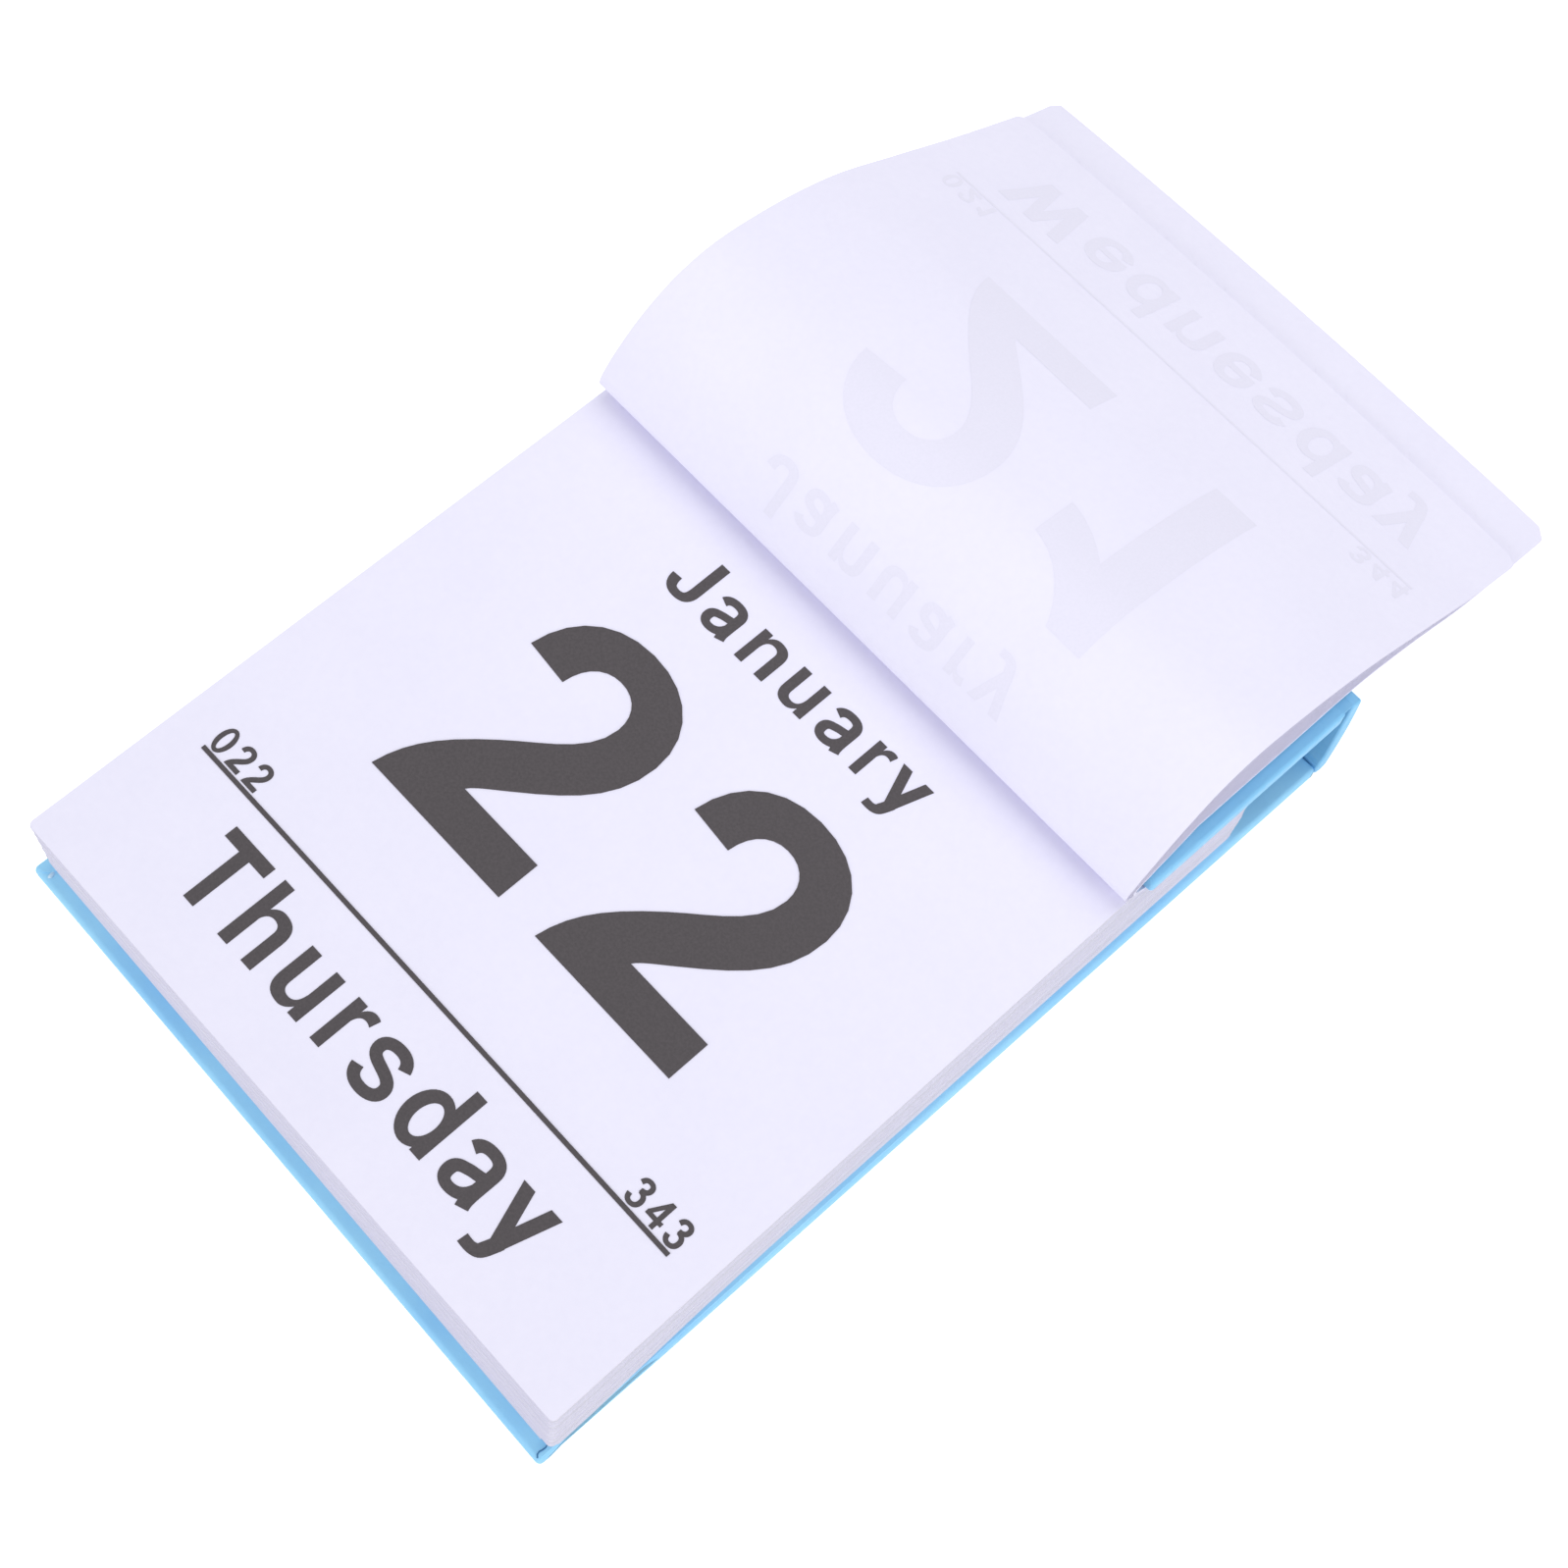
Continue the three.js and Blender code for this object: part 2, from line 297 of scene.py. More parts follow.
def piece(name, vertices, faces, material, smooth=False):
    """A mesh object that rides on the root."""
    mesh = bpy.data.meshes.new(name)
    mesh.from_pydata([tuple(v) for v in vertices], [], faces)
    mesh.materials.append(material)
    if smooth:
        mesh.polygons.foreach_set("use_smooth", [True] * len(mesh.polygons))
    mesh.update()
    obj = bpy.data.objects.new(name, mesh)
    bpy.context.scene.collection.objects.link(obj)
    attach(obj, "root")
    return obj


# The case: three covered boards with softly rounded edges
EDGE_ROUND = 0.8
BACK_END_ROUND = 0.7
FLAP_END_ROUND = 0.55
SPINE_END_ROUND = 0.4
ARC_STEPS = 6
SHARP_ANGLE = math.radians(35)


def arc(y, z, radius, start, turn=90):
    """Points on an arc of a section drawn in (y, z), angles in degrees."""
    angles = (math.radians(start + turn * i / ARC_STEPS) for i in range(ARC_STEPS + 1))
    return [Vector((y + radius * math.cos(a), z + radius * math.sin(a))) for a in angles]


def drawn_in(section, inset):
    """The section with every edge moved inward, its points taken anticlockwise."""
    moved = []
    for i, p in enumerate(section):
        before = (p - section[i - 1]).normalized()
        after = (section[(i + 1) % len(section)] - p).normalized()
        inward = Vector((-before.y, before.x)) + Vector((-after.y, after.x))
        moved.append(p + inward * (2 * inset / max(inward.length_squared, 0.5)))
    return moved


def ribbon(centre, pen):
    """The outline of a stroke drawn with an upright oval pen (width, height)."""
    leftward, rightward = [], []
    for i, p in enumerate(centre):
        before = centre[max(i - 1, 0)]
        after = centre[min(i + 1, len(centre) - 1)]
        along = (after - before).normalized()
        normal = Vector((-along.y, along.x))
        half = 0.5 * math.hypot(pen[0] * normal.x, pen[1] * normal.y)
        leftward.append(p + normal * half)
        rightward.append(p - normal * half)
    return leftward + rightward[::-1]


def covered_board(name, node, section, end_round, material):
    """A board along the whole case, its section rounded over at both ends."""
    turns = [math.radians(90 * i / ARC_STEPS) for i in range(ARC_STEPS + 1)]
    stations = [(CASE_WIDTH / 2 - end_round * (1 - math.sin(a)), end_round * (1 - math.cos(a)))
                for a in turns]
    stations = [(-x, inset) for x, inset in stations[::-1]] + stations
    count = len(section)
    last = (len(stations) - 1) * count
    vertices = [at(x, p.x, p.y) for x, inset in stations for p in drawn_in(section, inset)]
    faces = [(start + i, start + (i + 1) % count, start + count + (i + 1) % count,
              start + count + i) for start in range(0, last, count) for i in range(count)]
    faces.append(tuple(range(count))[::-1])
    faces.append(tuple(last + i for i in range(count)))
    obj = piece(name, vertices, faces, material, smooth=True)
    obj.data.set_sharp_from_angle(angle=SHARP_ANGLE)
    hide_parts(node)
    return obj


# The two flat boards, their section given as far as they reach in y and z
HINGE_ROUND = 0.45
BOARD_STEP = 1.6
BACK_END = HINGE + 0.35
DENT_DEPTH = 0.65
DENT_START = 0.5
DENT_LENGTH = 16


def board_section(front, end, bottom, top):
    """A board's section, rounder at its free edge than at its hinge."""
    r = EDGE_ROUND
    h = HINGE_ROUND
    stops = [front + 2 + BOARD_STEP * i for i in range(int((end - front - 3) / BOARD_STEP))]
    return (arc(front + r, bottom + r, r, 180) + [Vector((y, bottom)) for y in stops]
            + arc(end - h, bottom + h, h, -90) + arc(end - h, top - h, h, 0)
            + [Vector((y, top)) for y in stops[::-1]] + arc(front + r, top - r, r, 90))


back_section = board_section(COVER_FRONT, BACK_END, 0, BOARD)
# The back board takes the lighter covering: painted light against the shade under the pad and flap
back_board = covered_board("case_back_paper", "back_cover", back_section, BACK_END_ROUND,
                           covering_painted_light)
flap_section = board_section(FLAP_EDGE, HINGE, FLAP_BOTTOM, FLAP_TOP)
covered_board("case_flap_paper", "front_flap", flap_section, FLAP_END_ROUND, covering)

# The right edge of the back board is pressed in a little next to its near corner
for v in back_board.data.vertices:
    y = (v.co.y - FRONT) / MM
    share = (y - DENT_START) / DENT_LENGTH
    if v.co.x > 0 and 0 < share < 1:
        v.co.x -= DENT_DEPTH * math.sin(math.pi * share) ** 0.6 * MM

# The spine bows outward, and its inner face runs into a hollow curve above the back board
SPINE_BOW = 0.5
SPINE_BACK = SPINE_OUTER + 0.4
FOOT_ROUND = 1.5
INNER_FACE = SPINE_INNER + 0.7
INNER_ROUND = 0.5
HOLLOW_RADIUS = 3
HOLLOW_HEIGHT = BOARD + 3.6
HOLLOW_TURN = -38
LIP_RADIUS = 0.35
spine_section = (arc(SPINE_BACK - FOOT_ROUND, FOOT_ROUND, FOOT_ROUND, -90)
                 + [Vector((SPINE_BACK + SPINE_BOW * math.sin(math.pi * t), FOOT_ROUND
                            + (FLAP_TOP - EDGE_ROUND - FOOT_ROUND) * t))
                    for t in (0.2, 0.4, 0.6, 0.8)]
                 + arc(SPINE_BACK - EDGE_ROUND, FLAP_TOP - EDGE_ROUND, EDGE_ROUND, 0)
                 + arc(INNER_FACE + INNER_ROUND, FLAP_TOP - INNER_ROUND, INNER_ROUND, 90)
                 + arc(INNER_FACE - HOLLOW_RADIUS, HOLLOW_HEIGHT, HOLLOW_RADIUS, 0, HOLLOW_TURN)
                 + arc(SPINE_INNER + 0.3, BOARD + 0.25, LIP_RADIUS, 130, 60)
                 + [Vector((SPINE_INNER + 0.2, 0.5))])
covered_board("case_spine_paper", "spine", spine_section, SPINE_END_ROUND, covering)


def plate(name, outline, low, high, material, bevel=0.0):
    """A flat outline (x, y) between two heights, its edges softened where bevel is given."""
    count = len(outline)
    vertices = [at(x, y, z) for z in (low, high) for x, y in outline]
    faces = [tuple(range(count))[::-1], tuple(range(count, 2 * count))]
    faces += [(i, (i + 1) % count, count + (i + 1) % count, count + i) for i in range(count)]
    obj = piece(name, vertices, faces, material)
    if bevel:
        soft = obj.modifiers.new("soft", "BEVEL")
        soft.width = bevel * MM
        soft.segments = 3
    return obj


# Hinge strips of the covering paper, just under the outer faces of the boards
STRIP_END = CASE_WIDTH / 2 - 0.3
STRIP_OVERLAP = 1.5
STRIP_OUTER, STRIP_INNER = 0.06, 0.45
strip = ((-STRIP_END, HINGE - STRIP_OVERLAP), (STRIP_END, HINGE - STRIP_OVERLAP),
         (STRIP_END, SPINE_INNER + STRIP_OVERLAP), (-STRIP_END, SPINE_INNER + STRIP_OVERLAP))
plate("hinge_paper_top", strip, FLAP_TOP - STRIP_INNER, FLAP_TOP - STRIP_OUTER, covering)
plate("hinge_paper_foot", strip, STRIP_OUTER, STRIP_INNER, covering)

# Covering paper turned in over the board: its cut edge makes an S at the near right corner
TURN_IN_FOOT = BOARD - 0.1
TURN_IN_TOP = BOARD + 0.38
SEAM_SHADOW_WIDTH = 0.16
side_turn_in = ((49.3, 0.6), (49.6, 0.0), (50.3, -0.05), (51.05, -0.2), (51.55, -0.45),
                (51.72, -0.9), (51.72, -1.4), (51.6, -1.85), (51.75, -2.2), (52.05, -2.3),
                (52.22, -1.9), (52.22, 60), (51.0, 60), (50.2, 20))
# The turned-in roll takes the lighter covering: painted light on its rounded edge
plate("side_turn_in", side_turn_in, TURN_IN_FOOT, TURN_IN_TOP, covering_painted_light, 0.1)
# A dark ribbon along the seam: painted shadow of the gap under the turned-in cut edge
seam_shadow_course = [Vector(p) for p in (
    (49.7, 0.05), (50.4, -0.03), (51.05, -0.15), (51.42, -0.4), (51.56, -0.85), (51.52, -1.3),
    (51.4, -1.75), (51.5, -2.15), (51.85, -2.45))]
plate("turn_in_seam_shadow", [tuple(p) for p in ribbon(seam_shadow_course, (SEAM_SHADOW_WIDTH, SEAM_SHADOW_WIDTH))],
      TURN_IN_FOOT, BOARD + 0.05, shaded)

# The end of a turned-in strip and a pinched fold at the near left corner
left_turn_in = ((-49.9, 2.0), (-52.1, 2.0), (-52.15, -1.6), (-51.7, -2.3), (-50.9, -2.1),
                (-50.3, -1.5), (-49.9, -0.8))
# This turn-in also takes the lighter covering: painted light
plate("left_turn_in", left_turn_in, TURN_IN_FOOT, BOARD + 0.12, covering_painted_light,
      0.05)


# The section of a pinched fold, in half widths and heights
RIDGE = ((-1, 0), (-0.45, 0.7), (0, 1), (0.45, 0.7), (1, 0))


def crease(name, through, width, height, material):
    """A small pinched ridge of paper along a few points (x, y, z)."""
    vertices, faces = [], []
    last = len(through) - 1
    count = len(RIDGE)
    for i, (x, y, z) in enumerate(through):
        swell = math.sin(math.pi * (i + 0.3) / (last + 0.6))
        for across, rise in RIDGE:
            vertices.append(at(x + across * width / 2 * swell, y, z + rise * height * swell))
    for start in range(0, last * count, count):
        for a in range(start, start + count - 1):
            faces.append((a, a + 1, a + 1 + count, a + count))
        faces.append((start, start + count, start + 2 * count - 1, start + count - 1))
    faces.append((0,) + tuple(range(1, count))[::-1])
    faces.append(tuple(last * count + k for k in range(count)))
    return piece(name, vertices, faces, material, smooth=True)


crease("corner_crease", ((-50.1, -0.8, BOARD - 0.05), (-49.95, -1.3, BOARD - 0.03),
                         (-49.85, -1.8, BOARD - 0.05), (-49.9, -2.3, BOARD - 0.2)),
       0.9, 0.3, worn)

# The page block as slabs of sheets, each a little off the one below. Its free edge leans out
# at the foot, its near right corner spreads, the lowest slabs are nicked there, and its bound
# end bulges.
BLOCK_LEAN = 0.7
PAGE_CORNER = 0.8
CORNER_SPREAD = 0.85
CORNER_REACH = 20
SLABS = 46
SLAB_JITTER = 0.05
SLAB_WAVE = 0.05
LOW_SLABS = 0.09
NICK_X = 49.6
NICK_DEPTH = 0.7
END_BULGE = 2.1


def slab_outline(share):
    """The outline of the sheets at one height, share running from 0 (bottom) to 1 (top)."""
    half = PAGE_WIDTH / 2
    c = PAGE_CORNER
    front = -BLOCK_LEAN * (1 - share)
    end = PAGE_LENGTH + END_BULGE * math.sin(math.pi * share) ** 0.5
    nick = NICK_DEPTH if share < LOW_SLABS else 0
    flat = ([Vector((NICK_X - 0.05, front)), Vector((NICK_X, front + nick))]
            + arc(half - c, front + nick + c, c, -90)
            + [Vector((half, CORNER_REACH * part)) for part in (0.3, 0.6, 0.9, 1.2, 1.6, 2)]
            + arc(half - c, end - c, c, 0)
            + arc(-half + c, end - c, c, 90) + arc(-half + c, front + c, c, 180))
    turn = PAGE_SKEW * share
    outline = []
    for p in flat:
        x = p.x
        if x > 0:
            x += CORNER_SPREAD * (1 - share) * math.exp(-(p.y / CORNER_REACH) ** 2)
        dy = p.y - SKEW_PIVOT
        outline.append(Vector((x * math.cos(turn) - dy * math.sin(turn),
                               SKEW_PIVOT + x * math.sin(turn) + dy * math.cos(turn))))
    return outline


slab_vertices, slab_faces = [], []
for k in range(SLABS):
    share = (k + 0.5) / SLABS
    outline = slab_outline(1 if k == SLABS - 1 else share)
    off = Vector((random.uniform(-1, 1), random.uniform(-1, 1))) * SLAB_JITTER
    off += Vector((math.sin(k * 0.55), math.sin(k * 0.8 + 1))) * SLAB_WAVE
    if k == SLABS - 1:
        off = Vector((0, 0))
    start, count = len(slab_vertices), len(outline)
    for z in (k / SLABS, (k + 1) / SLABS):
        height = BOARD + z * (PAGE_TOP - BOARD)
        slab_vertices.extend(at(p.x + off.x, p.y + off.y, height) for p in outline)
    slab_faces.append(tuple(start + i for i in range(count))[::-1])
    slab_faces.append(tuple(start + count + i for i in range(count)))
    slab_faces.extend((start + i, start + (i + 1) % count, start + count + (i + 1) % count,
                       start + count + i) for i in range(count))
block = piece("page_stack", slab_vertices, slab_faces, page_paper)
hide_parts("page_block")


# Turned sheets: many thin leaves between the lowest and the highest course. The low ones reach
# further than the high ones, and their free edges bulge in the middle.
ARCH = 12.3
ARCH_TWIST = 0.7
REST_GAP = 0.3
LOW_THICKNESS = 0.5
FOLD_REACH = 4
LOW_SHIFT = 0.8
TOP_SHIFT = 0.3
TAIL_BEYOND = 39.6
TAIL_STAGGER = 8
TAIL_SLANT = 2.5
TIP_HEIGHT = 5.2
TIP_TWIST = 2.4
LOW_GROUP = 0.2
TOP_STAGGER = 1.2
LOW_TIP_TUCK = 0.5
LOW_TIP_REACH = 0.6
LOW_TIP_RISE = 1.8
EDGE_BULGE = 0.8
TIP_ROUND_LEFT = 0.7
TIP_ROUND_RIGHT = 1.8
TIP_ROWS = 8
STATION_STEPS = 13
TIP_STEPS = 26
LEAF_COLUMNS = 16
LEAF_SHARP_ANGLE = math.radians(40)


def smooth_course(through, steps):
    """Points on a centripetal Catmull-Rom curve, so many steps from station to station."""
    points = [Vector(p) for p in through]
    points = [points[0] * 2 - points[1]] + points + [points[-1] * 2 - points[-2]]
    course = []
    for p0, p1, p2, p3 in zip(points, points[1:], points[2:], points[3:]):
        t1 = (p1 - p0).length ** 0.5
        t2 = t1 + (p2 - p1).length ** 0.5
        t3 = t2 + (p3 - p2).length ** 0.5
        for i in range(steps):
            t = t1 + (t2 - t1) * i / steps
            a1 = p0 * ((t1 - t) / t1) + p1 * (t / t1)
            a2 = p1 * ((t2 - t) / (t2 - t1)) + p2 * ((t - t1) / (t2 - t1))
            a3 = p2 * ((t3 - t) / (t3 - t2)) + p3 * ((t - t2) / (t3 - t2))
            b1 = a1 * ((t2 - t) / t2) + a2 * (t / t2)
            b2 = a2 * ((t3 - t) / (t3 - t1)) + a3 * ((t - t1) / (t3 - t1))
            course.append(b1 * ((t2 - t) / (t2 - t1)) + b2 * ((t - t1) / (t2 - t1)))
    course.append(points[-2].copy())
    return course


def leaf_course(lift, root_z, edge):
    """The side view (y, z) of a leaf, as in the part's source.

    lift runs from 0 (on the flap) to 1 (the top sheet), edge from -1 (left) to 1 (right).
    """
    low = FLAP_TOP + REST_GAP + LOW_THICKNESS / 2
    arch = ARCH * lift
    twist = ARCH_TWIST * lift * edge
    fold = FLAP_EDGE - 2.2 - (FOLD_REACH - 2.2) * lift
    stagger = TAIL_STAGGER * (1 - lift) if lift < LOW_GROUP else TOP_STAGGER * (1 - lift)
    tip_y = SPINE_OUTER + TAIL_BEYOND + stagger - (TAIL_SLANT - 0.8 * lift) * edge
    tip_z = TIP_HEIGHT * (1 + lift) + (TIP_TWIST - lift) * edge
    tip_y += LOW_TIP_REACH * (1 - lift) * (1 + edge)
    tip_z += LOW_TIP_RISE * (1 - lift)
    return smooth_course([
        (FLAP_EDGE, root_z),
        (fold, (PAGE_TOP + TURNED + low) / 2 + 0.5 * lift),
        (FLAP_EDGE - 0.4 - 1.7 * lift, low + 2.3 * lift),
        (FLAP_EDGE + 6 - 1.4 * lift, low + 0.67 * arch + 0.5 * twist),
        (FLAP_EDGE + 15, low + arch + twist),
        (FLAP_EDGE + 27, low + 0.91 * arch + 0.5 * twist),
        (SPINE_OUTER, low + 0.6 * arch),
        (SPINE_OUTER + 12.5, low - 3.3 + 4.6 * lift),
        (SPINE_OUTER + 26.5, low - 8.9 + 3.1 * lift),
        (tip_y, tip_z),
    ], STATION_STEPS)


# The two edges of each leaf made so far, by its lift and root height
COURSES = {}


def leaf_point(lift, root_z, across, index, offset):
    """A point of a leaf: across runs from -1 to 1, offset is along its face's normal."""
    left, right_side = COURSES[(lift, root_z)]
    share = (across + 1) / 2
    here = left[index].lerp(right_side[index], share)
    before = left[max(index - 1, 0)].lerp(right_side[max(index - 1, 0)], share)
    last = len(left) - 1
    after = left[min(index + 1, last)].lerp(right_side[min(index + 1, last)], share)
    along = (after - before).normalized()
    normal = Vector((-along.y, along.x))
    y, z = here + normal * offset
    past = min(max((here.x - FLAP_EDGE) / 10, 0), 1)
    shift = (LOW_SHIFT + (TOP_SHIFT - LOW_SHIFT) * lift) * past
    near_tip = max(0, 1 - (last - index) / TIP_STEPS)
    y += EDGE_BULGE * (1 - across ** 2) * near_tip
    if lift < LOW_GROUP:
        shift -= LOW_TIP_TUCK * near_tip * (1 - across) / 2
    return across * PAGE_WIDTH / 2 - shift, y, z


def leaf(name, lift, root_z, thickness):
    """A sheet, or a thick group of sheets, from its bound root to its free edge."""
    COURSES[(lift, root_z)] = (leaf_course(lift, root_z, -1), leaf_course(lift, root_z, 1))
    count = len(COURSES[(lift, root_z)][0])
    vertices = []
    faces = []
    for face in (1, -1):
        for row in range(-1, count):
            for column in range(LEAF_COLUMNS + 1):
                across = column / LEAF_COLUMNS * 2 - 1
                if row < 0:
                    vertices.append(at(across * PAGE_WIDTH / 2, PAGE_LENGTH - 0.1,
                                       root_z - face * thickness / 2))
                    continue
                x, y, z = leaf_point(lift, root_z, across, row, face * thickness / 2)
                vertices.append(at(x, y, z))
    width = LEAF_COLUMNS + 1
    layer = (count + 1) * width
    last = count * width
    # The two faces, then the two sides, then the root and the free edge
    for start in range(0, last, width):
        for a in range(start, start + LEAF_COLUMNS):
            faces.append((a, a + 1, a + 1 + width, a + width))
            b = a + layer
            faces.append((b, b + width, b + width + 1, b + 1))
    for a in range(0, last, width):
        faces.append((a, a + width, a + width + layer, a + layer))
        b = a + LEAF_COLUMNS
        faces.append((b, b + layer, b + width + layer, b + width))
    for a in range(LEAF_COLUMNS):
        faces.append((a, a + layer, a + layer + 1, a + 1))
        b = a + last
        faces.append((b, b + 1, b + 1 + layer, b + layer))
    # Round the two free corners
    for column, sign, radius in ((0, 1, TIP_ROUND_LEFT), (LEAF_COLUMNS, -1, TIP_ROUND_RIGHT)):
        tip = vertices[last + column].copy()
        for row in range(count + 1 - TIP_ROWS, count + 1):
            a = row * width + column
            gap = (vertices[a] - tip).length / MM
            if gap < radius:
                inset = radius - math.sqrt(radius ** 2 - (radius - gap) ** 2)
                vertices[a].x += sign * inset * MM
                vertices[a + layer].x += sign * inset * MM
    obj = piece(name, vertices, faces, turned_paper, smooth=True)
    obj.data.set_sharp_from_angle(angle=LEAF_SHARP_ANGLE)
    return obj


# A thick group lies on the flap; the others arch over it, their free edges nearly together
STACK_THICKNESS = 0.48
STACK_LIFT = 0.03
STACK_ROOT = PAGE_TOP + TURNED - 0.26
LEAF_THICKNESS = 0.03
LEAF_ROOT = PAGE_TOP + TURNED - 0.5
ROOT_STEP = 0.034
LEAF_LIFTS = (0.1, 0.16, 0.3, 0.38, 0.5, 0.58, 0.7, 0.78, 0.86, 0.91, 0.955, 1.0)
leaf_objects = [leaf("turned_stack", STACK_LIFT, STACK_ROOT, STACK_THICKNESS)]
for i, lift in enumerate(LEAF_LIFTS):
    leaf_objects.append(leaf(f"turned_leaf_{i + 1}", lift, LEAF_ROOT - ROOT_STEP * i,
                             LEAF_THICKNESS))
for obj in leaf_objects:
    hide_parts("turned_sheets")


# Lettering: plain bold strokes, generic calendar words and numbers
def bezier(*points):
    """A chain of cubic Bezier curves as a list of points."""
    chain = [Vector(points[0])]
    for k in range(0, len(points) - 1, 3):
        p0, p1, p2, p3 = (Vector(p) for p in points[k:k + 4])
        for i in range(BEZIER_STEPS):
            t = (i + 1) / BEZIER_STEPS
            u = 1 - t
            chain.append(p0 * u ** 3 + p1 * 3 * u * u * t + p2 * 3 * u * t * t + p3 * t ** 3)
    return chain


BEZIER_STEPS = 10
RING_STEPS = 40


def rect(x0, y0, x1, y1):
    return [Vector(p) for p in ((x0, y0), (x1, y0), (x1, y1), (x0, y1))]


def slant(x0, y0, x1, y1, width):
    """A slanting bar with level ends."""
    half = width / 2
    return [Vector(p) for p in ((x0 - half, y0), (x0 + half, y0), (x1 + half, y1),
                                (x1 - half, y1))]


def ring(x, y, rx, ry):
    return [Vector((x + rx * math.cos(a), y + ry * math.sin(a)))
            for a in (i * math.tau / RING_STEPS for i in range(RING_STEPS))]


# Each glyph, in cap heights: its width, its solid outlines and its holes
STEM = 0.176
X_HEIGHT = 0.725


ARCH_WIDTH = 0.61


def arch():
    """The arch of h and n: it leaves the stem in a notch and ends on the second leg."""
    leg = ARCH_WIDTH - STEM
    return (bezier((0.12, 0.5), (0.15, 0.64), (0.24, 0.738), (0.345, 0.738),
                   (0.52, 0.738), (ARCH_WIDTH, 0.66), (ARCH_WIDTH, 0.47))
            + bezier((leg, 0.47), (leg, 0.56), (0.39, 0.598), (0.31, 0.598),
                     (0.22, 0.598), (STEM, 0.53), (STEM - 0.01, 0.42)))


def second_leg():
    return rect(ARCH_WIDTH - STEM, 0, ARCH_WIDTH, 0.48)


def glyph_T():
    return 0.733, [rect(0, 0.822, 0.733, 1), rect(0.275, 0, 0.458, 1)], []


def glyph_h():
    return ARCH_WIDTH, [rect(0, 0, STEM, 1), arch(), second_leg()], []


def glyph_n():
    return ARCH_WIDTH, [rect(0, 0, STEM * 0.93, X_HEIGHT), arch(), second_leg()], []


def glyph_u():
    width, solids, _ = glyph_n()
    return width, [[Vector((width - p.x, X_HEIGHT - p.y)) for p in s] for s in solids], []


def glyph_r():
    arm = (bezier((0.12, 0.45), (0.15, 0.62), (0.22, 0.738), (0.34, 0.738),
                  (0.38, 0.738), (0.42, 0.73), (0.44, 0.715))
           + bezier((0.4, 0.575), (0.37, 0.59), (0.34, 0.598), (0.31, 0.598),
                    (0.22, 0.598), (STEM, 0.53), (STEM - 0.01, 0.4)))
    return 0.43, [rect(0, 0, STEM, X_HEIGHT), arm], []


def glyph_s():
    body = ribbon(bezier((0.52, 0.53), (0.49, 0.63), (0.41, 0.668), (0.31, 0.668),
                         (0.17, 0.668), (0.088, 0.61), (0.088, 0.53),
                         (0.088, 0.41), (0.21, 0.4), (0.32, 0.37),
                         (0.44, 0.34), (0.535, 0.31), (0.535, 0.2),
                         (0.535, 0.1), (0.43, 0.05), (0.31, 0.05),
                         (0.18, 0.05), (0.1, 0.1), (0.08, 0.21)), (0.165, 0.142))
    return 0.62, [body], []


def glyph_d():
    return 0.637, [ring(0.3, 0.36, 0.3, 0.378), rect(0.637 - STEM, 0, 0.637, 1)], [
        ring(0.325, 0.36, 0.148, 0.236)]


def glyph_a():
    top_arch = ribbon(bezier((0.09, 0.55), (0.12, 0.64), (0.2, 0.668), (0.3, 0.668),
                             (0.42, 0.668), (0.497, 0.62), (0.497, 0.5),
                             (0.497, 0.35), (0.49, 0.2), (0.497, 0.12),
                             (0.5, 0.08), (0.51, 0.04), (0.525, 0)), (0.175, 0.142))
    bowl = ribbon(bezier((0.5, 0.415), (0.4, 0.37), (0.3, 0.37), (0.22, 0.335),
                         (0.13, 0.31), (0.085, 0.27), (0.085, 0.19),
                         (0.085, 0.1), (0.14, 0.052), (0.23, 0.052),
                         (0.35, 0.052), (0.44, 0.11), (0.48, 0.22)), (0.168, 0.135))
    return 0.61, [top_arch, bowl], []


def glyph_y():
    tail = ribbon(bezier((0.375, 0.08), (0.34, -0.02), (0.31, -0.11), (0.28, -0.15),
                         (0.24, -0.21), (0.15, -0.215), (0.03, -0.2)), (0.19, 0.142))
    return 0.664, [slant(0.095, X_HEIGHT, 0.355, 0.0, 0.19),
                   slant(0.57, X_HEIGHT, 0.36, 0.05, 0.19), tail], []


def glyph_J():
    hook = ribbon(bezier((0.552, 1), (0.552, 0.7), (0.552, 0.5), (0.552, 0.3),
                         (0.552, 0.12), (0.46, 0.06), (0.33, 0.06),
                         (0.19, 0.06), (0.105, 0.13), (0.1, 0.31)), (0.2, 0.15))
    return 0.652, [hook], []


def glyph_W():
    bar = 0.19
    return 1.0, [slant(0.09, 1, 0.28, 0, bar), slant(0.5, 1, 0.28, 0, 0.16),
                 slant(0.5, 1, 0.72, 0, 0.16), slant(0.91, 1, 0.72, 0, bar)], []


def glyph_e():
    bowl = ribbon(bezier((0.54, 0.22), (0.5, 0.1), (0.42, 0.05), (0.32, 0.05),
                         (0.16, 0.05), (0.088, 0.18), (0.088, 0.36),
                         (0.088, 0.54), (0.16, 0.668), (0.31, 0.668),
                         (0.46, 0.668), (0.53, 0.54), (0.53, 0.36)), (0.172, 0.142))
    return 0.61, [bowl, rect(0.12, 0.3, 0.6, 0.42)], []


def glyph_0():
    return 0.63, [ring(0.315, 0.5, 0.315, 0.515)], [ring(0.315, 0.5, 0.14, 0.375)]


def glyph_1():
    outline = [Vector((0.251, 0)), Vector((0.455, 0)), Vector((0.455, 1))]
    outline += bezier((0.291, 1), (0.25, 0.9), (0.15, 0.79), (0.005, 0.77))
    outline += bezier((0.005, 0.575), (0.1, 0.585), (0.18, 0.63), (0.251, 0.69))
    return 0.455, [outline], []


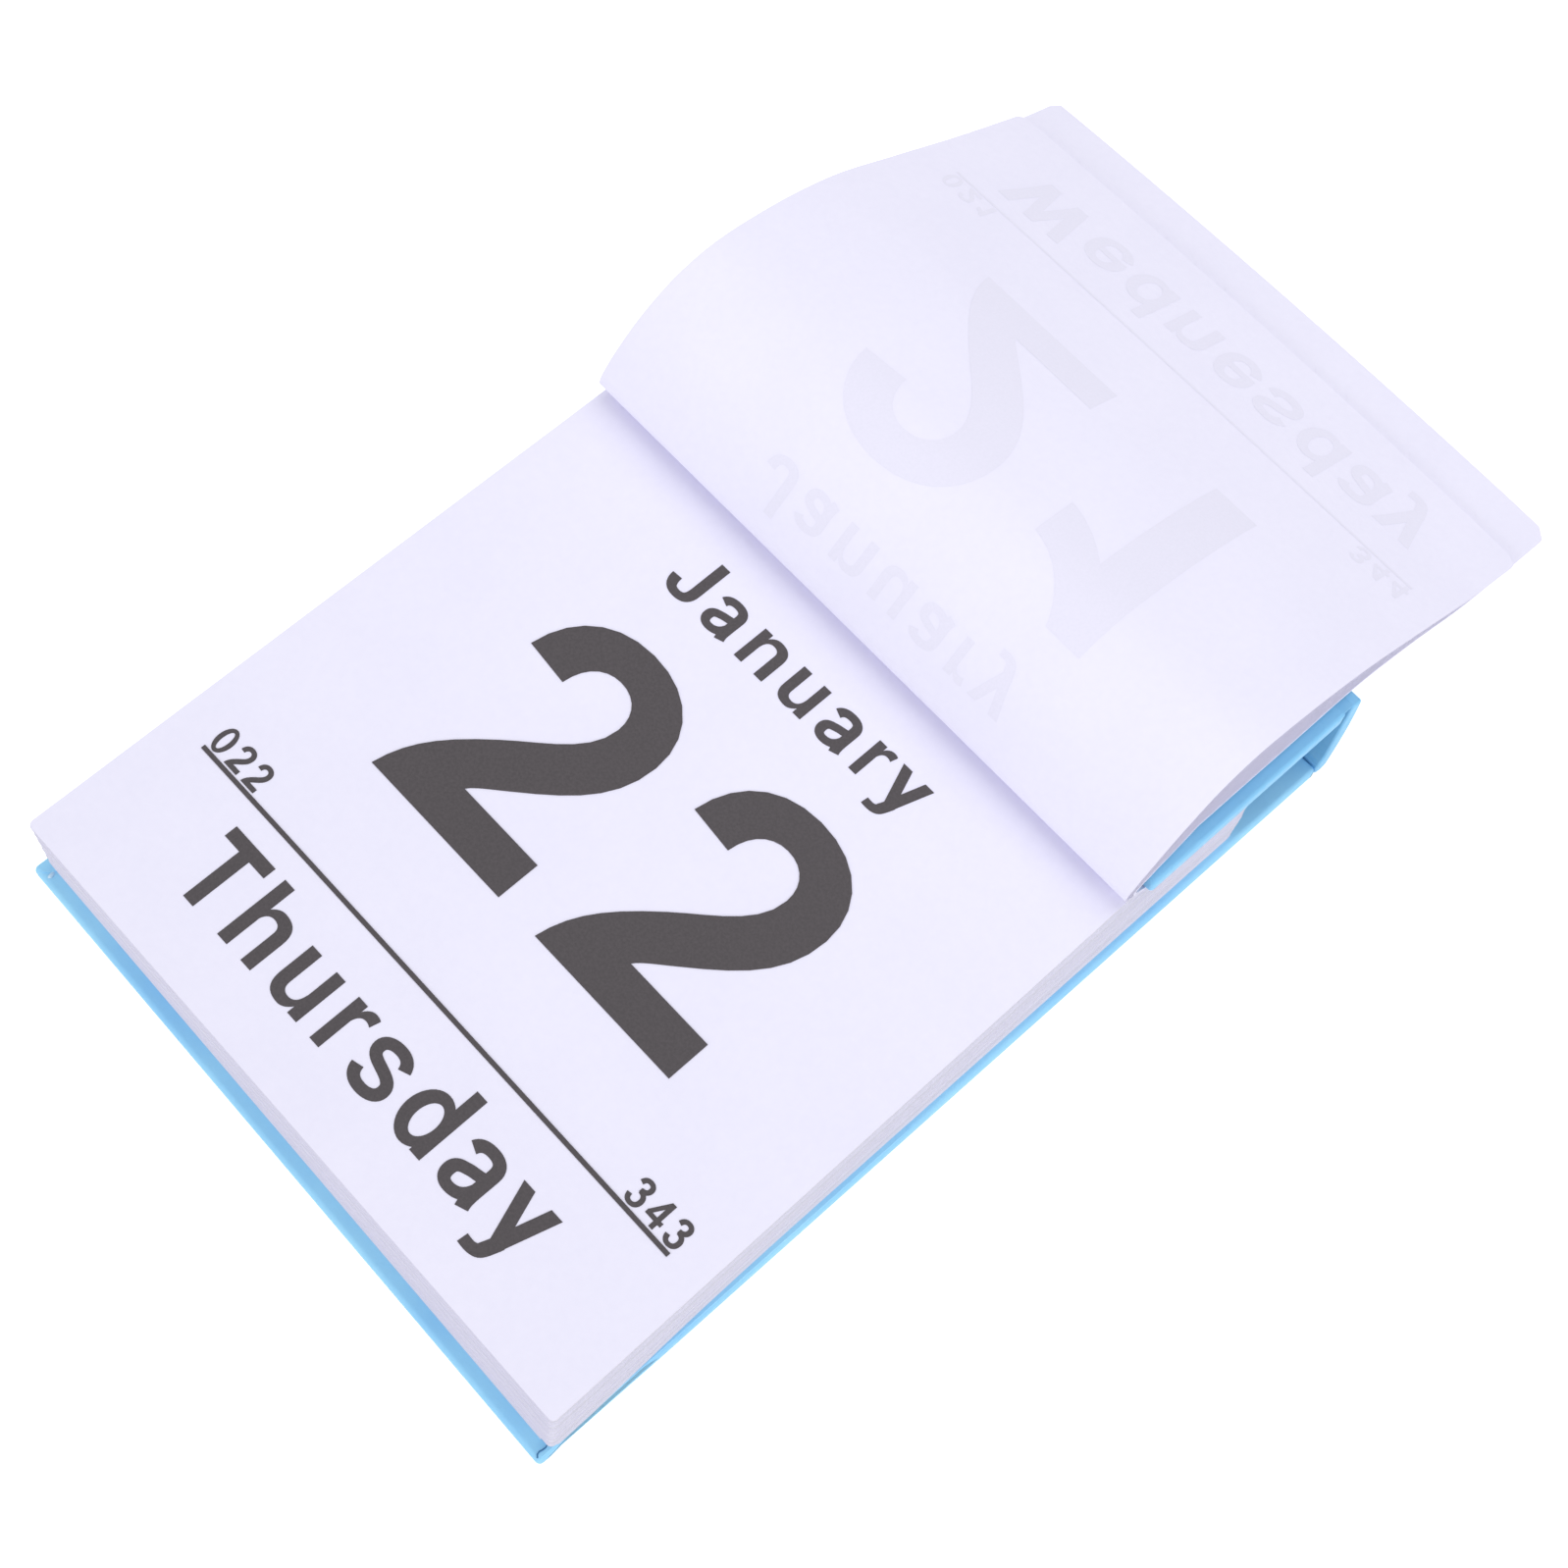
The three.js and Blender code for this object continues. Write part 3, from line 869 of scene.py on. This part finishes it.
def glyph_2():
    outline = bezier((0.43, 0.173), (0.46, 0.205), (0.52, 0.235), (0.604, 0.286),
                     (0.83, 0.42), (1, 0.53), (1, 0.714),
                     (1, 0.885), (0.8, 1), (0.514, 1),
                     (0.22, 1), (0.05, 0.88), (0.024, 0.709))
    outline += bezier((0.306, 0.691), (0.318, 0.79), (0.4, 0.843), (0.514, 0.843),
                      (0.63, 0.843), (0.708, 0.79), (0.708, 0.714),
                      (0.708, 0.58), (0.5, 0.49), (0.346, 0.385),
                      (0.13, 0.24), (0.03, 0.14), (0, 0))
    outline += [Vector((1, 0)), Vector((1, 0.173))]
    width = 0.66
    return width, [[Vector((p.x * width, p.y)) for p in outline]], []


def glyph_3():
    upper = ribbon(bezier((0.1, 0.745), (0.13, 0.87), (0.2, 0.93), (0.31, 0.93),
                          (0.44, 0.93), (0.51, 0.86), (0.51, 0.76),
                          (0.51, 0.64), (0.42, 0.57), (0.28, 0.57)), (0.18, 0.15))
    lower = ribbon(bezier((0.28, 0.53), (0.45, 0.53), (0.54, 0.44), (0.54, 0.3),
                          (0.54, 0.15), (0.44, 0.065), (0.31, 0.065),
                          (0.17, 0.065), (0.1, 0.14), (0.085, 0.275)), (0.18, 0.15))
    return 0.63, [upper, lower, rect(0.25, 0.49, 0.33, 0.63)], []


def glyph_4():
    return 0.68, [rect(0.39, 0, 0.565, 1), rect(0, 0.21, 0.68, 0.36),
                  slant(0.08, 0.33, 0.48, 1, 0.17)], []


def glyph_rule():
    return 1.0, [rect(0, -0.5, 1, 0.5)], []


GLYPHS = {"T": glyph_T, "J": glyph_J, "W": glyph_W, "a": glyph_a, "d": glyph_d, "e": glyph_e,
          "h": glyph_h, "n": glyph_n, "r": glyph_r, "s": glyph_s, "u": glyph_u, "y": glyph_y,
          "0": glyph_0, "1": glyph_1, "2": glyph_2, "3": glyph_3, "4": glyph_4,
          "-": glyph_rule}


def inside(p, outline):
    """Whether a point is inside an outline, by the crossings to its right."""
    hit = False
    for a, b in zip(outline, outline[1:] + outline[:1]):
        if (a.y > p.y) != (b.y > p.y) and p.x < a.x + (p.y - a.y) / (b.y - a.y) * (b.x - a.x):
            hit = not hit
    return hit


def filled(solids, holes, band):
    """Triangles of the union of the solids less the holes, cut at level bands."""
    points, edges = [], []

    def outline_edges(outline):
        start = len(points)
        points.extend(outline)
        edges.extend((start + i, start + (i + 1) % len(outline)) for i in range(len(outline)))

    for outline in solids + holes:
        outline_edges(outline)
    low = min(p.y for p in points)
    high = max(p.y for p in points)
    left = min(p.x for p in points) - 0.1
    right_end = max(p.x for p in points) + 0.1
    for k in range(math.ceil(low / band), math.floor(high / band) + 1):
        start = len(points)
        points.extend((Vector((left, k * band)), Vector((right_end, k * band))))
        edges.append((start, start + 1))
    verts, _, tris, *_ = delaunay_2d_cdt(points, edges, [], 0, 1e-6)
    kept = []
    for tri in tris:
        middle = sum((verts[i] for i in tri), Vector((0, 0))) / len(tri)
        if any(inside(middle, s) for s in solids) and not any(inside(middle, h) for h in holes):
            kept.append(tri)
    return verts, kept


def words(name, letters, spans, baseline, cap, place, material, slot, band, lift, depth):
    """Sets letters into spans (left, right) on a surface given by place(x, y, lift)."""
    vertices, faces = [], []
    for letter, (x0, x1) in zip(letters, spans):
        width, solids, holes = GLYPHS[letter]()
        sx = (x1 - x0) / width

        def scaled(outline):
            return [Vector((x0 + p.x * sx, baseline + p.y * cap)) for p in outline]

        verts, tris = filled([scaled(s) for s in solids], [scaled(h) for h in holes], band)
        start = len(vertices)
        vertices.extend(place(v.x, v.y, lift) for v in verts)
        faces.extend(tuple(start + i for i in tri) for tri in tris)
    obj = piece(name, vertices, faces, material)
    film = obj.modifiers.new("film", "SOLIDIFY")
    film.thickness = depth * MM
    film.offset = -1
    return obj


def boxes(left, widths, gaps):
    """Boxes of letters from their widths and the gaps between them."""
    spans, x = [], left
    for width, gap in zip(widths, list(gaps) + [0]):
        spans.append((x, x + width))
        x += width + gap
    return spans


def flat_page(x, y, lift):
    return on_page(x, y, PAGE_TOP + lift)


# Baselines and cap heights of the words, and where the two day counts start
MONTH_BASE, MONTH_CAP = 84.08, 8.1
DAY_BASE, DAY_CAP = 8.67, 10.93
DATE_BASE, DATE_CAP = 38.2, 37.85
COUNT_BASE, COUNT_CAP = 23.95, 4.1
COUNT_LEFT, LEFT_LEFT = -45.2, 36.5
FLAT = {"place": flat_page, "material": ink, "slot": "ink_rule", "band": 50.0, "lift": 0.06,
        "depth": 0.05}
MONTH_BOXES = boxes(-23.6, (5.33, 5.25, 5.45, 5.3, 5.25, 3.4, 5.7),
                    (2.0, 2.25, 2.2, 2.0, 2.1, 1.15))
words("month_name", "January", MONTH_BOXES, MONTH_BASE, MONTH_CAP, **FLAT)
DAY_BOXES = boxes(-33.3, (8.0, 6.65, 6.6, 4.3, 6.7, 6.9, 6.65, 7.1),
                  (2.0, 2.65, 2.65, 1.5, 1.9, 2.25, 1.6))
words("day_name", "Thursday", DAY_BOXES, DAY_BASE, DAY_CAP, **FLAT)
words("day_count", "022", boxes(COUNT_LEFT, (2.6, 2.55, 2.55), (0.95, 0.95)), COUNT_BASE, COUNT_CAP,
      **FLAT)
words("days_left", "343", boxes(LEFT_LEFT, (2.55, 2.7, 2.55), (0.85, 0.85)), COUNT_BASE, COUNT_CAP,
      **FLAT)

# Print of the turned page, showing through its back, a little askew and drawn together
TOP_KEY = max(COURSES)
LEAF_SKEW = 0.022
PRINT_CREEP = 0.975
PRINT_START = -0.3


def arc_lengths(course):
    """Lengths along a course, counted from its free end."""
    total, lengths = 0.0, [0.0]
    for a, b in zip(course[::-1], course[::-1][1:]):
        total += (b - a).length
        lengths.append(total)
    return lengths


LEFT_ARC, RIGHT_ARC = (arc_lengths(course) for course in COURSES[TOP_KEY])


def turned_page(x, y, lift):
    """A point of the turned page: y is counted along the sheet from its free edge."""
    share = x / PAGE_WIDTH + 0.5
    along = PRINT_CREEP * y + PRINT_START - LEAF_SKEW * x
    lengths = [a + (b - a) * share for a, b in zip(LEFT_ARC, RIGHT_ARC)]
    last = len(lengths) - 1
    k = max(i for i in range(last) if lengths[i] <= along)
    part = (along - lengths[k]) / (lengths[k + 1] - lengths[k])
    across = x / (PAGE_WIDTH / 2)
    near = leaf_point(*TOP_KEY, across, last - k, lift)
    far = leaf_point(*TOP_KEY, across, last - k - 1, lift)
    return at(*(n + (f - n) * part for n, f in zip(near, far)))


GHOST = {"place": turned_page, "material": ghost_ink, "slot": "turned_paper", "band": 0.8,
         "lift": LEAF_THICKNESS / 2 + 0.015, "depth": 0.01}
words("ghost_month", "January", MONTH_BOXES, MONTH_BASE, MONTH_CAP, **GHOST)
words("ghost_date", "21", ((-26.0, -0.2), (9.6, 26.6)), DATE_BASE, DATE_CAP, **GHOST)
GHOST_DAY = boxes(-39.6, (12.4, 7.0, 6.9, 6.65, 6.65, 6.7, 6.9, 6.5, 7.0),
                  (1.5, 1.6, 2.5, 1.9, 1.6, 1.6, 1.8, 1.1))
words("ghost_day", "Wednesday", GHOST_DAY, DAY_BASE, DAY_CAP, **GHOST)
words("ghost_count", "021", boxes(COUNT_LEFT, (2.6, 2.55, 1.8), (0.95, 1.1)), COUNT_BASE, COUNT_CAP,
      **GHOST)
words("ghost_left", "344", boxes(LEFT_LEFT, (2.55, 2.7, 2.7), (0.85, 0.85)), COUNT_BASE, COUNT_CAP,
      **GHOST)

# The rule is in short parts, so that it bends with the sheet
RULE_LENGTH = 91
RULE_BASE, RULE_HEIGHT = 23.35, 0.5
RULE_PARTS = 26
RULE_BOXES = boxes(PRINT_SHIFT - RULE_LENGTH / 2, [RULE_LENGTH / RULE_PARTS] * RULE_PARTS,
                   [0] * (RULE_PARTS - 1))
words("ghost_rule", "-" * RULE_PARTS, RULE_BOXES, RULE_BASE, RULE_HEIGHT, **GHOST)


# Floor and light
def area(name, place, size, power):
    """A square lamp that points at the calendar."""
    light = bpy.data.lights.new(name, "AREA")
    light.size = size
    light.energy = power
    obj = bpy.data.objects.new(name, light)
    obj.location = place
    obj.rotation_euler = (TARGET - Vector(place)).to_track_quat("-Z", "Y").to_euler()
    bpy.context.scene.collection.objects.link(obj)


def seen_by_eye(tree):
    """1 for the rays that show a backdrop to the eye, also by a reflection, and 0 for light."""
    path = tree.nodes.new("ShaderNodeLightPath")
    seen = path.outputs["Is Camera Ray"]
    for ray in ("Is Glossy Ray", "Is Transmission Ray"):
        either = tree.nodes.new("ShaderNodeMath")
        either.operation = "MAXIMUM"
        tree.links.new(seen, either.inputs[0])
        tree.links.new(path.outputs[ray], either.inputs[1])
        seen = either.outputs[0]
    return seen


# The sky lights at a plain level and is white to the eye
SKY_LIGHT = 0.64
world = bpy.data.worlds.new("studio")
world.use_nodes = True
sky_tree = world.node_tree
sky = sky_tree.nodes["Background"]
sky.inputs["Color"].default_value = (1, 1, 1, 1)
sky_strength = sky_tree.nodes.new("ShaderNodeMapRange")
sky_strength.inputs["To Min"].default_value = SKY_LIGHT
sky_strength.inputs["To Max"].default_value = 1.0
sky_tree.links.new(seen_by_eye(sky_tree), sky_strength.inputs["Value"])
sky_tree.links.new(sky_strength.outputs["Result"], sky.inputs["Strength"])
bpy.context.scene.world = world

# Each lamp: its place in metres, its side and its power in watts
area("key", (0.0, 0.17, 0.42), 0.4, 0.64)
area("fill_right", (1.5, 0.1, 0.42), 0.9, 6.8)
area("fill_front", (-0.2, -1.5, 0.62), 0.9, 7.4)

# The floor is pale and keeps the shadow, and looks white to the eye
FLOOR_PAINT = 0.86
FLOOR_GLOW = 0.66
floor_look = Nodes("floor")
floor_look.shader.inputs["Base Color"].default_value = (FLOOR_PAINT, FLOOR_PAINT, FLOOR_PAINT, 1)
floor_look.shader.inputs["Roughness"].default_value = 0.9
floor_look.shader.inputs["Specular IOR Level"].default_value = 0.1
floor_look.shader.inputs["Emission Color"].default_value = (1, 1, 1, 1)
floor_look.put(floor_look.shader.inputs["Emission Strength"],
               floor_look.math("MULTIPLY", seen_by_eye(floor_look.tree), FLOOR_GLOW))
FLOOR_SPAN = 3
FLOOR_DROP = 0.0002
floor_mesh = bpy.data.meshes.new("floor")
floor_mesh.from_pydata([(x, y, -FLOOR_DROP) for x, y in (
    (-FLOOR_SPAN, -FLOOR_SPAN), (FLOOR_SPAN, -FLOOR_SPAN), (FLOOR_SPAN, FLOOR_SPAN),
    (-FLOOR_SPAN, FLOOR_SPAN))], [], [(0, 1, 2, 3)])
floor_mesh.materials.append(floor_look.material)
floor = bpy.data.objects.new("floor", floor_mesh)
bpy.context.scene.collection.objects.link(floor)
